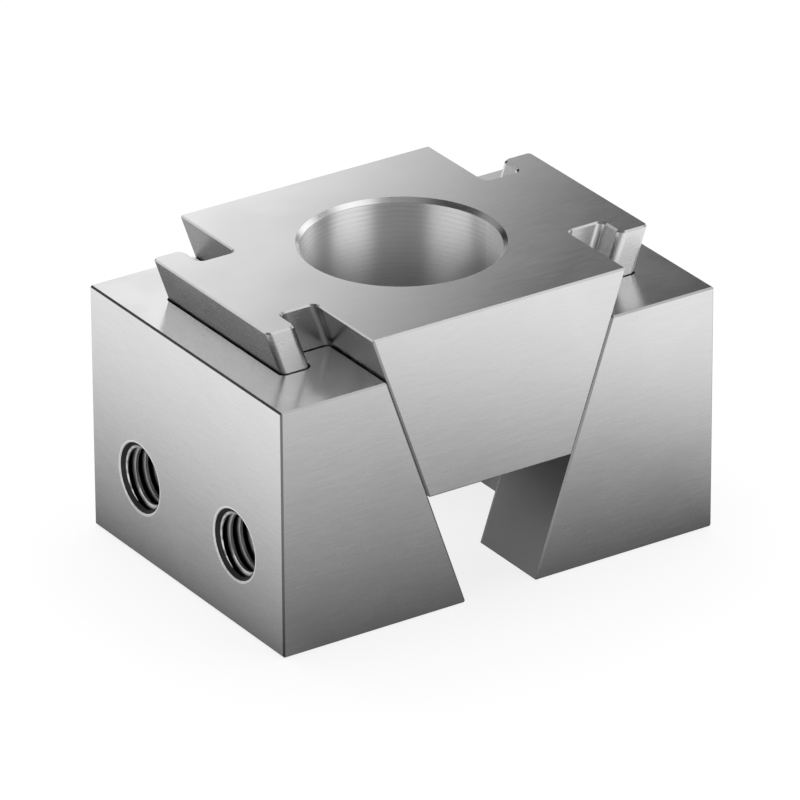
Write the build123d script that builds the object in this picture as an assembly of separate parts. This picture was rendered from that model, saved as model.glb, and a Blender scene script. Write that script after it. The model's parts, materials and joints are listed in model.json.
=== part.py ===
from build123d import *
from math import cos, radians, sin, tan
import os

# A double wedge clamp for a machining fixture, in three ground steel pieces.
# X runs from the left jaw to the right jaw, Y along the clamp's depth, Z up from the base.
# The origin is on the base, in the middle of the gap between the jaws.
# The wedge slides up and down between the jaws on a T tongue at each side.
# A screw through the wedge pulls it down, and the slopes push the jaws apart.

# All three pieces
clamp_depth = 38.0
edge_break = 0.2

# Jaws: height, length of the base, and the gap between the two bases
jaw_height = 28.8
jaw_foot = 23.2
jaw_gap = 8.9

# Wedge: slope of its sides from upright, height, and how far it stands over the jaws when slack
slope = 19.0
wedge_height = 20.3
wedge_lift = 5.3

# T tongue, square to the sliding face
neck_width = 15.6
neck_reach = 4.3
head_width = 22.8
head_thickness = 3.5
head_round = 0.9
root_round = 0.8
crown_round = 0.6

# Running clearances: between the sliding faces, and round the tongue in its slot
face_play = 0.04
tongue_play = 0.2

# Hole for the clamping screw, with a counterbore for its head
screw_hole = 13.5
head_bore = 21.8
head_bore_depth = 12.5
rim_chamfer = 0.5

# Two tapped holes in the outer face of each jaw, and the metal left behind their drill points
thread_size = 8.0
thread_spacing = 19.0
thread_height = 9.5
thread_mouth = 0.1
drill_point = 118.0
point_wall = 1.6

# Values that follow from the sizes above
slope_sin = sin(radians(slope))
slope_cos = cos(radians(slope))
slope_tan = tan(radians(slope))
jaw_toe = jaw_gap / 2
jaw_outer = jaw_toe + jaw_foot
wedge_toe = jaw_toe - face_play / slope_cos
wedge_top = jaw_height + wedge_lift
wedge_bottom = wedge_top - wedge_height
slot_depth = neck_reach + head_thickness + tongue_play
slot_back = wedge_toe + thread_height * slope_tan + slot_depth / slope_cos
point_length = thread_size / 2 / tan(radians(drill_point / 2))
thread_depth = jaw_outer - slot_back - point_wall - point_length

# Longer than any piece in any direction, for cutting shapes that run right through
beyond = 2 * jaw_outer + clamp_depth + wedge_top

# The right sliding face: local x points out of the wedge, local z up the slope
guide = Plane(
    origin=(wedge_toe, 0, 0),
    x_dir=(slope_cos, 0, -slope_sin),
    z_dir=(slope_sin, 0, slope_cos),
)


def round_corners(outline, u, v, radius):
    # Rounds the pair of corners at (u, v) and (u, -v)
    for side in (-v, v):
        corner = outline.vertices().sort_by_distance((u, side, 0))[0]
        outline = fillet(corner, radius)
    return outline


def side_outline(face):
    # All that lies inside the sliding face
    return make_face(Polyline((-beyond, beyond), (face, beyond), (face, -beyond), (-beyond, -beyond), close=True))


def guide_outline(face, play):
    # The same, with the T that stands out of the sliding face
    neck = neck_width / 2 + play
    head = head_width / 2 + play
    front = neck_reach - play
    back = neck_reach + head_thickness + play
    half = [(-beyond, beyond), (face, beyond), (face, neck), (front, neck), (front, head), (back, head)]
    mirrored = [(u, -v) for u, v in reversed(half)]
    outline = make_face(Polyline(half + mirrored, close=True))
    outline = round_corners(outline, face, neck, root_round - play)
    outline = round_corners(outline, front, neck, root_round - play)
    outline = round_corners(outline, front, head, head_round + play)
    outline = round_corners(outline, back, head, crown_round + play)
    return outline


def along_slope(outline):
    # The outline run along the slope, past both ends of every piece
    return extrude(guide * outline, beyond, both=True)


def break_edges(solid):
    # Chamfers the edges round the top, the base and the two faces that close the piece along Y
    by_height = solid.faces().sort_by(Axis.Z)
    by_depth = solid.faces().sort_by(Axis.Y)
    borders = [by_height[0], by_height[-1], by_depth[0], by_depth[-1]]
    edges = [edge for edge in solid.edges() if any(edge in face.edges() for face in borders)]
    return chamfer(edges, edge_break)


def screw_bore():
    # Through hole, flat-bottomed counterbore for the screw's head, and its chamfered rims
    hole = screw_hole / 2
    bore = head_bore / 2
    shoulder = wedge_top - head_bore_depth
    section = Polyline(
        (0, wedge_bottom),
        (hole + edge_break, wedge_bottom),
        (hole, wedge_bottom + edge_break),
        (hole, shoulder),
        (bore, shoulder),
        (bore, wedge_top - rim_chamfer),
        (bore + rim_chamfer, wedge_top),
        (0, wedge_top),
        close=True,
    )
    return revolve(Plane.XZ * make_face(section), Axis.Z)


def tapped_hole():
    # Drilled from the outer face inwards: mouth, the thread's full width, drill point
    radius = thread_size / 2
    section = Polyline(
        (0, 0),
        (radius + thread_mouth, 0),
        (radius, thread_mouth),
        (radius, thread_depth),
        (0, thread_depth + point_length),
        close=True,
    )
    hole = revolve(Plane.XY * make_face(section), Axis.Y)
    return Pos(jaw_outer, 0, thread_height) * Rot(0, 0, 90) * hole


def make_wedge():
    middle = (wedge_top + wedge_bottom) / 2
    slab = Pos(0, 0, middle) * Box(beyond, clamp_depth, wedge_height)
    right_side = along_slope(guide_outline(0, 0))
    left_side = mirror(right_side, about=Plane.YZ)
    wedge = slab & right_side & left_side
    return break_edges(wedge) - screw_bore()


def make_right_jaw():
    block = Pos(jaw_outer / 2, 0, jaw_height / 2) * Box(jaw_outer, clamp_depth, jaw_height)
    jaw = break_edges(block - along_slope(side_outline(face_play)))
    jaw = jaw - along_slope(guide_outline(face_play, tongue_play))
    for side in (-1, 1):
        jaw = jaw - Pos(0, side * thread_spacing / 2, 0) * tapped_hole()
    return jaw


def main():
    os.makedirs("parts", exist_ok=True)
    right_jaw = make_right_jaw()
    pieces = {
        "left_jaw": mirror(right_jaw, about=Plane.YZ),
        "wedge": make_wedge(),
        "right_jaw": right_jaw,
    }
    for name, piece in pieces.items():
        export_step(piece, "parts/" + name + ".step")


main()
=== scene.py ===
import bmesh
import bpy
import json
from math import hypot, pi, radians, tau
from mathutils import Matrix, Vector


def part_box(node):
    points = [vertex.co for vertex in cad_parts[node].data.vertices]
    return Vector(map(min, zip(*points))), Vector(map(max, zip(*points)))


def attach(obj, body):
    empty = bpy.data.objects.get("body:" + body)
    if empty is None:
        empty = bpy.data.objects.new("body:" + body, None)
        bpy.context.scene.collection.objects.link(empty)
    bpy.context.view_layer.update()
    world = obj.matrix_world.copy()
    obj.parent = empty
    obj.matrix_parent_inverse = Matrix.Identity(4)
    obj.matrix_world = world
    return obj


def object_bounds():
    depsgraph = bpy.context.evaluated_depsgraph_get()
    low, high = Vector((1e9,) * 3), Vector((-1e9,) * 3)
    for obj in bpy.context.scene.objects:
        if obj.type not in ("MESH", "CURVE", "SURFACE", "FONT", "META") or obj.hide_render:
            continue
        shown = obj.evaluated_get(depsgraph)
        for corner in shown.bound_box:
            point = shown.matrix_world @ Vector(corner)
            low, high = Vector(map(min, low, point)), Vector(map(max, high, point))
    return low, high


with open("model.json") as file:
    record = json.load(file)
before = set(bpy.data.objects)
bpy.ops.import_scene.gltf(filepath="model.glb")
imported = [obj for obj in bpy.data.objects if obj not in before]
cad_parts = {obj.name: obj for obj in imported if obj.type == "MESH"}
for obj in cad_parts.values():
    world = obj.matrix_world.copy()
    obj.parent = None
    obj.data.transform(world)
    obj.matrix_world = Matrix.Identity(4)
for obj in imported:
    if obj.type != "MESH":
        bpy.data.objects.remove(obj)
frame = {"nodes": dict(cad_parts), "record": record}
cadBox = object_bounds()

from types import SimpleNamespace

nodes = frame["nodes"]
mounts = {mount["name"]: mount for mount in frame["record"]["mounts"]}


# camera at the photograph's angle, through a long lens

photoCamera = {
    "place": (-0.45902663, -0.69755523, 0.42429114),
    "forward": (0.4934112, 0.75030516, -0.43998585),
    "up": (0.24635009, 0.36458696, 0.89799108),
    "lens": 387.369,
    "sensor": 36.0,
    "clip": (0.01, 20.0),
}


def makeCamera(look):
    data = bpy.data.cameras.new("photoCamera")
    data.lens = look["lens"]
    data.sensor_width = look["sensor"]
    data.clip_start, data.clip_end = look["clip"]
    camera = bpy.data.objects.new("photoCamera", data)
    back = -Vector(look["forward"]).normalized()
    right = Vector(look["up"]).cross(back).normalized()
    turned = Matrix((right, back.cross(right), back)).transposed()
    camera.matrix_world = Matrix.Translation(look["place"]) @ turned.to_4x4()
    bpy.context.collection.objects.link(camera)
    bpy.context.scene.camera = camera


makeCamera(photoCamera)
print("camera placed")


# short ways to build a node tree

coolTint = 1.004
noiseSpan = (0.3, 0.7)


def newMaterial(name):
    made = bpy.data.materials.new(name)
    made.use_nodes = True
    made.node_tree.nodes.clear()
    return made


def addNode(tree, kind, inputs=None, **settings):
    node = tree.nodes.new(kind)
    for key, value in settings.items():
        setattr(node, key, value)
    for key, value in (inputs or {}).items():
        plug(tree, value, node.inputs[key])
    return node


def plug(tree, value, socket):
    if isinstance(value, bpy.types.NodeSocket):
        tree.links.new(value, socket)
    else:
        socket.default_value = value


def calc(tree, operation, *values):
    return addNode(tree, "ShaderNodeMath", dict(enumerate(values)), operation=operation).outputs[0]


def isOver(tree, value, limit):
    return calc(tree, "GREATER_THAN", value, limit)


def isUnder(tree, value, limit):
    return calc(tree, "LESS_THAN", value, limit)


def allOf(tree, *masks):
    product = masks[0]
    for mask in masks[1:]:
        product = calc(tree, "MULTIPLY", product, mask)
    return product


def ramp(tree, value, low, high, outLow=0.0, outHigh=1.0, shape="SMOOTHSTEP"):
    inputs = {"Value": value, "From Min": low, "From Max": high, "To Min": outLow, "To Max": outHigh}
    return addNode(tree, "ShaderNodeMapRange", inputs, interpolation_type=shape).outputs["Result"]


def blend(tree, mask, first, second):
    # the first number where the mask is 0, the second where it is 1
    return ramp(tree, mask, 0.0, 1.0, first, second, "LINEAR")


def mixColour(tree, factor, first, second):
    node = addNode(tree, "ShaderNodeMix", data_type="RGBA")
    for socket, value in ((0, factor), (6, first), (7, second)):
        plug(tree, value, node.inputs[socket])
    return node.outputs[2]


def mixVector(tree, factor, first, second):
    node = addNode(tree, "ShaderNodeMix", data_type="VECTOR")
    for socket, value in ((0, factor), (4, first), (5, second)):
        plug(tree, value, node.inputs[socket])
    return node.outputs[1]


def grey(value):
    return (value, value, value * coolTint, 1.0)


def noise(tree, place, scale, detail, roughness=0.5):
    inputs = {"Vector": place, "Scale": scale, "Detail": detail, "Roughness": roughness}
    return addNode(tree, "ShaderNodeTexNoise", inputs).outputs["Fac"]


def splitUp(tree, vector):
    return addNode(tree, "ShaderNodeSeparateXYZ", {0: vector}).outputs


def howFar(tree, first, second):
    # length of the two taken square to each other
    squares = [calc(tree, "MULTIPLY", value, value) for value in (first, second)]
    return calc(tree, "SQRT", calc(tree, "ADD", *squares))


def steelShader(tree, surface, extra=None):
    inputs = {
        "Base Color": surface.colour,
        "Metallic": 1.0,
        "Roughness": surface.rough,
        "Normal": surface.bump,
        **(extra or {}),
    }
    return addNode(tree, "ShaderNodeBsdfPrincipled", inputs).outputs[0]


# tapped holes, as far as the finishes and the threads need them

tappedHoles = {"radius": 0.004, "spacing": 0.019, "height": 0.0095}


def holeDistance(tree, spot, hole):
    # from the axis of the nearest tapped hole
    aside = calc(tree, "SUBTRACT", calc(tree, "ABSOLUTE", spot[1]), hole["spacing"] / 2)
    return howFar(tree, aside, calc(tree, "SUBTRACT", spot[2], hole["height"]))


def holeDepth(tree, spot):
    return calc(tree, "SUBTRACT", cadBox[1][0], calc(tree, "ABSOLUTE", spot[0]))


# ground steel: fine grinding lines, level on the upright faces and along X on the level ones,
# with painted shade on the broken edges, and a painted highlight along the wedge's outer ones

groundFinish = {
    "steel": 0.70,
    "grainDepth": 0.016,
    "alongGrain": 450.0,
    "acrossGrain": 3600.0,
    "grainDetail": (4.0, 0.6),
    "cloudScale": 140.0,
    "roughness": 0.27,
    "topRoughness": 0.22,
    "grainRoughness": 0.015,
    "cloudRoughness": 0.02,
    "bump": 0.0000001,
    "outerFrom": 0.97,
}

# jaws: painted highlight rings where the tapped holes open, and sliding faces in painted shade, darker
# upwards
jawFinish = {
    **groundFinish,
    # painted shade on the broken edges, nearly black along the outer ones
    "edge": 0.44,
    "paintedOuterEdge": 0.16,
    # painted shade on the sliding faces, light at the foot and dark high up
    "slidePaintedShade": (0.98, 0.32),
    "slidePaintedShadeSpan": (0.003, 0.0135),
    "slideRoughness": 0.45,
    # a painted highlight: a light ring round each tapped hole's mouth
    "mouth": 0.95,
    "mouthReach": (0.00426, 0.00015),
    "mouthRoughness": 0.55,
}
# the wedge's broken edges: a little painted shade, and a painted highlight along the outer ones
wedgeFinish = {**groundFinish, "edge": 0.58, "paintedOuterEdge": 0.90}

# turned bore: the tool marks face a little upwards and spread the light up and down the wall
# painted shade darkens the wall with depth, and the chamfered rim is a painted highlight
boreFinish = {
    "radius": mounts["head_bore"]["dims"]["r_mm"] / 1000,
    "margin": 0.00002,
    "steel": 0.85,
    "roughness": 0.37,
    "stretch": 0.70,
    "stretchTurn": 0.25,
    "feed": 0.00060,
    "tilt": 0.45,
    "wander": 0.8,
    "wanderScale": 260.0,
    "ringDepth": 0.045,
    "ringSpan": (0.0060, 0.0010),
    "deepRings": 0.15,
    "brokenScale": 130.0,
    "brokenSpan": (0.35, 0.60),
    "deepPaintedShade": 0.58,
    "deepPaintedShadeSpan": (0.0105, 0.0030),
    # the bore's chamfered rim is painted light: a painted highlight
    "rim": 0.95,
    "rimWidth": 0.0006,
}

# how the parts of a face's normal along X, Y and Z tell what kind of face it is
faceKinds = {
    "level": 0.9,
    "levelSpan": (0.85, 0.95),
    "edgeSpan": (0.88, 0.80),
    "square": 0.12,
    "sideways": 0.5,
    "slantSideways": 0.9,
    "slantUp": 0.2,
}


def grainOf(tree, place, sides, look):
    along, across = look["alongGrain"], look["acrossGrain"]
    upright = addNode(tree, "ShaderNodeMapping", {"Vector": place, "Scale": (along, along, across)})
    level = addNode(tree, "ShaderNodeMapping", {"Vector": place, "Scale": (along, across, along)})
    isLevel = isOver(tree, sides[2], faceKinds["level"])
    lines = mixVector(tree, isLevel, upright.outputs[0], level.outputs[0])
    return noise(tree, lines, 1.0, *look["grainDetail"])


def groundSurface(tree, look):
    # where each point lies and which way it faces, with its colour, roughness and bump so far
    place = addNode(tree, "ShaderNodeTexCoord").outputs["Object"]
    normal = splitUp(tree, addNode(tree, "ShaderNodeNewGeometry").outputs["True Normal"])
    sides = [calc(tree, "ABSOLUTE", normal[i]) for i in range(3)]
    largest = calc(tree, "MAXIMUM", calc(tree, "MAXIMUM", sides[0], sides[1]), sides[2])
    grain = grainOf(tree, place, sides, look)
    cloud = noise(tree, place, look["cloudScale"], 2.0)
    low, high = look["steel"] - look["grainDepth"], look["steel"] + look["grainDepth"]
    rough = ramp(tree, sides[2], *faceKinds["levelSpan"], look["roughness"], look["topRoughness"])
    for pattern, spread in ((grain, look["grainRoughness"]), (cloud, look["cloudRoughness"])):
        rough = calc(tree, "ADD", rough, ramp(tree, pattern, *noiseSpan, -spread, spread))
    return SimpleNamespace(
        place=place,
        spot=splitUp(tree, place),
        sides=sides,
        onEdge=ramp(tree, largest, *faceKinds["edgeSpan"]),
        colour=mixColour(tree, ramp(tree, grain, *noiseSpan), grey(low), grey(high)),
        rough=rough,
        bump=addNode(tree, "ShaderNodeBump", {"Height": grain, "Distance": look["bump"]}).outputs[0],
    )


def paintSlideShade(tree, surface, look):
    # painted shade: the sliding faces darken upwards, a tone chosen to match the photo, not wear known from
    # it
    sideways = isOver(tree, surface.sides[0], faceKinds["slantSideways"])
    slanted = allOf(tree, sideways, isOver(tree, surface.sides[2], faceKinds["slantUp"]))
    paintedSlideShade = ramp(tree, surface.spot[2], *look["slidePaintedShadeSpan"], *look["slidePaintedShade"])
    surface.colour = mixColour(tree, slanted, surface.colour, paintedSlideShade)
    surface.rough = blend(tree, slanted, surface.rough, look["slideRoughness"])


def paintEdgeTones(tree, surface, look, box):
    # edges between an upright end face and the top, the base or a side are the outer ones
    # the broken edges are painted shade; the outer ones are painted nearly black on the jaws and light, a
    # painted highlight, on the wedge
    sides = surface.sides
    smallest = calc(tree, "MINIMUM", calc(tree, "MINIMUM", sides[0], sides[1]), sides[2])
    square = isUnder(tree, smallest, faceKinds["square"])
    sideways = isOver(tree, sides[0], faceKinds["sideways"])
    middle, half = (box[0] + box[1]) / 2, (box[1] - box[0]) / 2
    reaches = []
    for i in (1, 2):
        offset = calc(tree, "SUBTRACT", surface.spot[i], middle[i])
        reaches.append(calc(tree, "ABSOLUTE", calc(tree, "DIVIDE", offset, half[i])))
    atBorder = isOver(tree, calc(tree, "MAXIMUM", *reaches), look["outerFrom"])
    isOuter = allOf(tree, square, sideways, atBorder)
    shade = mixColour(tree, isOuter, grey(look["edge"]), grey(look["paintedOuterEdge"]))
    surface.colour = mixColour(tree, surface.onEdge, surface.colour, shade)


def paintMouthHighlights(tree, surface, look):
    # a painted highlight: a light ring round the mouth of each tapped hole
    reach, depth = look["mouthReach"]
    nearHole = isUnder(tree, holeDistance(tree, surface.spot, tappedHoles), reach)
    atMouthHighlight = allOf(tree, nearHole, isUnder(tree, holeDepth(tree, surface.spot), depth))
    surface.colour = mixColour(tree, atMouthHighlight, surface.colour, grey(look["mouth"]))
    surface.rough = blend(tree, atMouthHighlight, surface.rough, look["mouthRoughness"])


def feedRings(tree, surface, look):
    # plainest near the top of the wall, and broken up along each turn
    height = surface.spot[2]
    wander = calc(tree, "MULTIPLY", noise(tree, surface.place, look["wanderScale"], 1.0), look["wander"])
    turns = calc(tree, "ADD", calc(tree, "MULTIPLY", height, 1 / look["feed"]), wander)
    rings = calc(tree, "SINE", calc(tree, "MULTIPLY", turns, tau))
    broken = ramp(tree, noise(tree, surface.place, look["brokenScale"], 2.0), *look["brokenSpan"])
    deep, high = (cadBox[1][2] - depth for depth in look["ringSpan"])
    return allOf(tree, rings, broken, ramp(tree, height, deep, high, look["deepRings"], 1.0))


def shadeBore(tree, surface, look, box):
    # gives back the mask of the bore's wall, whose tone darkens with depth as painted shade, to match the
    # photo
    height = surface.spot[2]
    away = howFar(tree, surface.spot[0], surface.spot[1])
    aboveBase = isOver(tree, height, box[0].z + look["rimWidth"])
    inside = allOf(tree, isUnder(tree, away, look["radius"] + look["margin"]), aboveBase)
    atPaintedRim = allOf(tree, isUnder(tree, away, look["radius"] + look["rimWidth"]), surface.onEdge, aboveBase)
    low, high = look["steel"] - look["ringDepth"], look["steel"] + look["ringDepth"]
    rings = ramp(tree, feedRings(tree, surface, look), -1.0, 1.0, low, high, "LINEAR")
    deep, shallow = (cadBox[1][2] - depth for depth in look["deepPaintedShadeSpan"])
    # the rings' tone, times a painted shade that darkens the wall with depth
    turned = calc(tree, "MULTIPLY", rings, ramp(tree, height, deep, shallow, look["deepPaintedShade"], 1.0))
    # the chamfered rim is painted light: a painted highlight
    colour = mixColour(tree, atPaintedRim, surface.colour, grey(look["rim"]))
    surface.colour = mixColour(tree, inside, colour, turned)
    surface.rough = blend(tree, inside, surface.rough, look["roughness"])
    along = calc(tree, "FRACT", calc(tree, "MULTIPLY", height, 1 / look["feed"]))
    marks = allOf(tree, calc(tree, "SUBTRACT", 1.0, along), inside)
    inputs = {"Height": marks, "Distance": look["tilt"] * look["feed"], "Normal": surface.bump}
    surface.bump = addNode(tree, "ShaderNodeBump", inputs).outputs[0]
    return inside


def makeJawSteel(name, look, box):
    made = newMaterial(name)
    tree = made.node_tree
    surface = groundSurface(tree, look)
    paintSlideShade(tree, surface, look)
    paintEdgeTones(tree, surface, look, box)
    paintMouthHighlights(tree, surface, look)
    addNode(tree, "ShaderNodeOutputMaterial", {"Surface": steelShader(tree, surface)})
    return made


def makeWedgeSteel(name, look, bore, box):
    # the bore's wall stretches its highlights, as turned steel does
    made = newMaterial(name)
    tree = made.node_tree
    surface = groundSurface(tree, look)
    paintEdgeTones(tree, surface, look, box)
    inside = shadeBore(tree, surface, bore, box)
    ground = steelShader(tree, surface)
    around = addNode(tree, "ShaderNodeTangent", direction_type="RADIAL", axis="Z").outputs[0]
    extra = {"Anisotropic": bore["stretch"], "Anisotropic Rotation": bore["stretchTurn"], "Tangent": around}
    wall = steelShader(tree, surface, extra)
    mixed = addNode(tree, "ShaderNodeMixShader", {0: inside, 1: ground, 2: wall}).outputs[0]
    addNode(tree, "ShaderNodeOutputMaterial", {"Surface": mixed})
    return made


def coat(piece, material):
    piece.data.materials.clear()
    piece.data.materials.append(material)


jawSteel = makeJawSteel("jawSteel", jawFinish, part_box("left_jaw"))
wedgeSteel = makeWedgeSteel("wedgeSteel", wedgeFinish, boreFinish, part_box("wedge"))
coat(nodes["left_jaw"], jawSteel)
coat(nodes["right_jaw"], jawSteel)
coat(nodes["wedge"], wedgeSteel)
print("steel finished")


# threads in the tapped holes: a thin sleeve with one helical ridge, inside each drilled wall
# the profile gives shares of the pitch along the axis, and of the thread's depth inwards

threadSleeve = {
    **tappedHoles,
    "pitch": 0.00125,
    "depthShare": 0.5413,
    "profile": ((0, 0), (1 / 8, 0), (7 / 16, 1), (11 / 16, 1), (1, 0)),
    "wallGap": 0.00001,
    "skin": 0.00001,
    "start": 0.0001,
    "turns": 5.6,
    "countersink": 0.00040,
    "steps": 72,
    "cuts": 3,
    "sharpAngle": 35,
}
# the thread's root and the cone at its mouth are painted shade
threadFinish = {
    "crest": 0.80,
    "root": 0.03,
    "rim": 0.05,
    "crestRadius": 0.00342,
    "rootRadius": 0.00376,
    "paintedRimDepth": 0.00050,
    "grainScale": 4000.0,
    "roughness": (0.28, 0.36),
    "rimRoughness": 0.55,
    "bump": 0.0000001,
}
weldDistance = 1e-7
cutDistance = 1e-8


def spinThread(bm, look, major):
    # root, flank, crest and flank of one turn, swept round the X axis
    pitch = look["pitch"]
    depth = look["depthShare"] * pitch
    verts = []
    for along, inwards in look["profile"]:
        verts.append(bm.verts.new((look["start"] + pitch * (along - 1), 0, major - depth * inwards)))
    edges = [bm.edges.new(pair) for pair in zip(verts, verts[1:])]
    bmesh.ops.subdivide_edges(bm, edges=edges, cuts=look["cuts"])
    turns = round(look["turns"] + 2)
    bmesh.ops.spin(bm, geom=bm.verts[:] + bm.edges[:], cent=(0, 0, 0), axis=(1, 0, 0),
                   dvec=(pitch / look["steps"], 0, 0), angle=tau * turns, steps=look["steps"] * turns)
    bmesh.ops.remove_doubles(bm, verts=bm.verts[:], dist=weldDistance)


def cutAcross(bm, depth, way, clear):
    geometry = bm.verts[:] + bm.edges[:] + bm.faces[:]
    bmesh.ops.bisect_plane(bm, geom=geometry, dist=cutDistance, plane_co=(depth, 0, 0),
                           plane_no=(way, 0, 0), clear_outer=clear)


def trimThread(bm, look):
    end = look["start"] + look["pitch"] * look["turns"]
    for depth, way in ((look["start"], -1), (end, 1)):
        cutAcross(bm, depth, way, True)


def setRadius(vert, radius):
    share = radius / hypot(vert.co.y, vert.co.z)
    vert.co.y *= share
    vert.co.z *= share


def sinkMouth(bm, look, major):
    # a ring cut first gives the small cone at the mouth a clean foot
    foot = look["start"] + look["countersink"]
    cutAcross(bm, foot, 1, False)
    for vert in bm.verts:
        cone = major - (vert.co.x - look["start"])
        if vert.co.x < foot + weldDistance and hypot(vert.co.y, vert.co.z) < cone:
            setRadius(vert, cone)


def closeSleeve(bm, outer):
    # a rim at each end, and the outer wall between the rims
    rims = [edge for edge in bm.edges if edge.is_boundary]
    made = bmesh.ops.extrude_edge_only(bm, edges=rims)["geom"]
    for vert in (item for item in made if isinstance(item, bmesh.types.BMVert)):
        setRadius(vert, outer)
    bmesh.ops.bridge_loops(bm, edges=[edge for edge in bm.edges if edge.is_boundary])
    bmesh.ops.remove_doubles(bm, verts=bm.verts[:], dist=cutDistance)
    bmesh.ops.recalc_face_normals(bm, faces=bm.faces[:])


def makeThread(name, look, mouth, inward, body, material):
    bm = bmesh.new()
    outer = look["radius"] - look["wallGap"]
    major = outer - look["skin"]
    spinThread(bm, look, major)
    trimThread(bm, look)
    sinkMouth(bm, look, major)
    closeSleeve(bm, outer)
    turned = inward.to_track_quat("X", "Z").to_matrix().to_4x4()
    bmesh.ops.transform(bm, verts=bm.verts[:], matrix=Matrix.Translation(mouth) @ turned)
    mesh = bpy.data.meshes.new(name)
    bm.to_mesh(mesh)
    bm.free()
    mesh.shade_smooth()
    mesh.set_sharp_from_angle(angle=radians(look["sharpAngle"]))
    piece = bpy.data.objects.new(name, mesh)
    bpy.context.collection.objects.link(piece)
    coat(piece, material)
    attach(piece, body)


def makeThreadSteel(name, look, hole):
    # bright on the ridge, painted shade in the root and on the mouth's cone: tones chosen to match the
    # photo
    made = newMaterial(name)
    tree = made.node_tree
    place = addNode(tree, "ShaderNodeTexCoord").outputs["Object"]
    spot = splitUp(tree, place)
    atPaintedRim = isUnder(tree, holeDepth(tree, spot), look["paintedRimDepth"])
    inRoot = ramp(tree, holeDistance(tree, spot, hole), look["crestRadius"], look["rootRadius"])
    shade = mixColour(tree, inRoot, grey(look["crest"]), grey(look["root"]))
    grain = noise(tree, place, look["grainScale"], 3.0)
    rough = ramp(tree, grain, *noiseSpan, *look["roughness"])
    surface = SimpleNamespace(
        colour=mixColour(tree, atPaintedRim, shade, grey(look["rim"])),
        rough=blend(tree, atPaintedRim, rough, look["rimRoughness"]),
        bump=addNode(tree, "ShaderNodeBump", {"Height": grain, "Distance": look["bump"]}).outputs[0],
    )
    addNode(tree, "ShaderNodeOutputMaterial", {"Surface": steelShader(tree, surface)})
    return made


threadSteel = makeThreadSteel("threadSteel", threadFinish, threadSleeve)
for side, face, way in (("left", cadBox[0][0], 1), ("right", cadBox[1][0], -1)):
    for end, y in (("near", -threadSleeve["spacing"] / 2), ("far", threadSleeve["spacing"] / 2)):
        mouth = Vector((face, y, threadSleeve["height"]))
        inward = Vector((way, 0, 0))
        makeThread(f"{side}_{end}_thread", threadSleeve, mouth, inward, side + "_jaw", threadSteel)
print("threads cut")


# floor: pale paper, with a card of light just over it that only reflections meet
# slopes say how fast that card brightens away from the clamp, per metre

floorLook = {"half": 1.5, "drop": 0.00005, "colour": 0.88, "shadow": 0.18}
floorCard = {
    "rise": 0.00002,
    "near": (0.22, 0.13),
    "nearSpan": (-0.035, -0.020),
    "far": 1.10,
    "leftSlope": 27.0,
    "rightSlope": 20.0,
    "backSlope": 6.0,
    "frontSlope": (11.0, 19.5),
    "frontSpan": (0.012, 0.046),
}


def makeStage(name, place, size, turned, material):
    bm = bmesh.new()
    bmesh.ops.create_grid(bm, x_segments=1, y_segments=1, size=0.5)
    bmesh.ops.scale(bm, verts=bm.verts[:], vec=(size[0], size[1], 1.0))
    bmesh.ops.transform(bm, verts=bm.verts[:], matrix=Matrix.Translation(place) @ turned.to_4x4())
    mesh = bpy.data.meshes.new(name)
    bm.to_mesh(mesh)
    bm.free()
    mesh.materials.append(material)
    made = bpy.data.objects.new(name, mesh)
    bpy.context.collection.objects.link(made)
    return made


def makeFloor(look):
    # the paper's white is its own where it is seen, and the lamps add the shadow
    made = newMaterial("floorPaper")
    tree = made.node_tree
    paper = addNode(tree, "ShaderNodeBsdfDiffuse", {"Color": grey(look["colour"])}).outputs[0]
    white = addNode(tree, "ShaderNodeEmission", {"Color": grey(1.0), "Strength": 1.0}).outputs[0]
    rays = addNode(tree, "ShaderNodeLightPath").outputs
    seen = calc(tree, "MAXIMUM", rays["Is Camera Ray"], rays["Is Glossy Ray"])
    seen = calc(tree, "MAXIMUM", seen, rays["Is Transmission Ray"])
    share = calc(tree, "MULTIPLY", seen, 1 - look["shadow"])
    shader = addNode(tree, "ShaderNodeMixShader", {0: share, 1: paper, 2: white})
    addNode(tree, "ShaderNodeOutputMaterial", {"Surface": shader.outputs[0]})
    makeStage("studioFloor", (0, 0, -look["drop"]), [2 * look["half"]] * 2, Matrix.Identity(3), made)


def makeCard(name, place, size, turned, level):
    # level is a function that works out the glow from the place, inside the tree
    made = newMaterial(name)
    tree = made.node_tree
    spot = splitUp(tree, addNode(tree, "ShaderNodeTexCoord").outputs["Object"])
    shader = addNode(tree, "ShaderNodeEmission", {"Strength": level(tree, spot)})
    addNode(tree, "ShaderNodeOutputMaterial", {"Surface": shader.outputs[0]})
    card = makeStage(name, place, size, turned, made)
    card.visible_camera = False
    card.visible_diffuse = False
    card.visible_shadow = False


def past(tree, spot, edge, slope):
    # distance beyond one side of the clamp, times its slope
    beyond = calc(tree, "MAXIMUM", calc(tree, "SUBTRACT", spot, edge), 0.0)
    return calc(tree, "MULTIPLY", beyond, slope)


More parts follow.
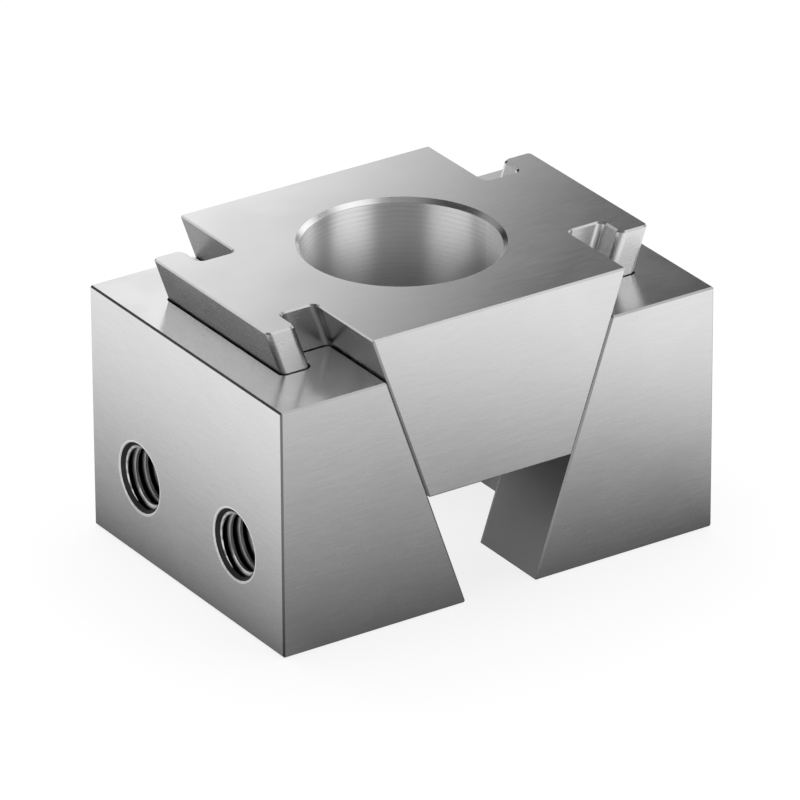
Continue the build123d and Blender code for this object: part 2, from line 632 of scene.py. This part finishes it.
def makeFloorCard(look):
    low, high = cadBox

    def level(tree, spot):
        x, y = spot[0], spot[1]
        left, front = (calc(tree, "MULTIPLY", value, -1.0) for value in (x, y))
        frontSlope = ramp(tree, x, *look["frontSpan"], *look["frontSlope"], "LINEAR")
        toRight = past(tree, x, high[0], look["rightSlope"])
        aside = calc(tree, "ADD", toRight, past(tree, left, -low[0], look["leftSlope"]))
        behind = past(tree, y, high[1], look["backSlope"])
        ahead = calc(tree, "ADD", behind, past(tree, front, -low[1], frontSlope))
        near = ramp(tree, x, *look["nearSpan"], *look["near"])
        return calc(tree, "MINIMUM", calc(tree, "ADD", howFar(tree, aside, ahead), near), look["far"])

    makeCard("floorCard", (0, 0, look["rise"]), [2 * floorLook["half"]] * 2, Matrix.Identity(3), level)


makeFloor(floorLook)
makeFloorCard(floorCard)
print("floor laid")


# light: a graded card behind, two plain cards, a lamp for the floor alone, and soft boxes
# the back card's brightness runs along x + z, so its band leans to the left as it rises
# levels are the brightness as it would look in a mirror, where 1 is white

backCard = {
    "middle": (0.14, 0.15, 0.14),
    "size": (0.32, 0.24),
    "edgeLine": 0.12,
    "start": (0.0, 0.03),
    "fade": (0.040, 0.145),
    "levels": (1.30, 0.10),
}
plainCards = [
    {"name": "darkCard", "place": (-0.178, 0.048, 0.266), "size": (0.34, 0.14), "level": 0.02},
    {"name": "channelCard", "place": (-0.028, 0.10, 0.016), "size": (0.06, 0.03), "level": 1.3},
]
floorLamp = {"name": "floorLamp", "place": (0.05, 0.20, 0.80), "size": (0.9, 0.9), "level": 3.2}
softBoxes = [
    {"name": "topBox", "place": (0.136, -0.163, 0.283), "size": (0.20, 0.20), "level": 0.90},
    {"name": "boreRight", "place": (0.137, -0.295, 0.129), "size": (0.30, 0.145), "level": 0.95},
    {"name": "boreLeft", "place": (-0.323, 0.008, 0.135), "size": (0.34, 0.150), "level": 0.90},
    {"name": "rimBox", "place": (0.318, 0.033, 0.146), "size": (0.16, 0.16), "level": 0.95},
    {"name": "leftBack", "place": (-0.18, 0.21, 0.07), "size": (0.14, 0.14), "level": 0.5},
]
lampAim = (0, 0, 0.03)
worldLevel = 0.25


def facing(place):
    # turns a plane or lamp so that it looks at the clamp
    return (Vector(lampAim) - Vector(place)).to_track_quat("-Z", "Y").to_matrix()


def makeBackCard(look):
    def level(tree, spot):
        across = calc(tree, "ADD", spot[0], calc(tree, "SUBTRACT", spot[2], look["edgeLine"]))
        fading = ramp(tree, across, *look["fade"], *look["levels"])
        return calc(tree, "MULTIPLY", fading, ramp(tree, across, *look["start"]))

    makeCard("backCard", look["middle"], look["size"], Matrix.Rotation(pi / 2, 3, "X"), level)


def makePlainCard(look):
    turned = facing(look["place"])
    makeCard(look["name"], look["place"], look["size"], turned, lambda tree, spot: look["level"])


def makeLamp(look, inReflections=True):
    data = bpy.data.lights.new(look["name"], "AREA")
    data.shape = "RECTANGLE"
    data.size, data.size_y = look["size"]
    data.energy = look["level"] * pi * data.size * data.size_y
    lamp = bpy.data.objects.new(look["name"], data)
    lamp.location = look["place"]
    lamp.rotation_euler = facing(look["place"]).to_euler()
    lamp.visible_camera = False
    lamp.visible_glossy = inReflections
    bpy.context.collection.objects.link(lamp)


def makeWorld(level):
    world = bpy.data.worlds.new("studioWorld")
    world.use_nodes = True
    tree = world.node_tree
    tree.nodes.clear()
    back = addNode(tree, "ShaderNodeBackground", {"Color": (1, 1, 1, 1), "Strength": level})
    addNode(tree, "ShaderNodeOutputWorld", {"Surface": back.outputs[0]})
    bpy.context.scene.world = world


makeBackCard(backCard)
for card in plainCards:
    makePlainCard(card)
makeLamp(floorLamp, inReflections=False)
for box in softBoxes:
    makeLamp(box)
makeWorld(worldLevel)
bpy.context.scene.view_settings.view_transform = "Standard"
print("light set")
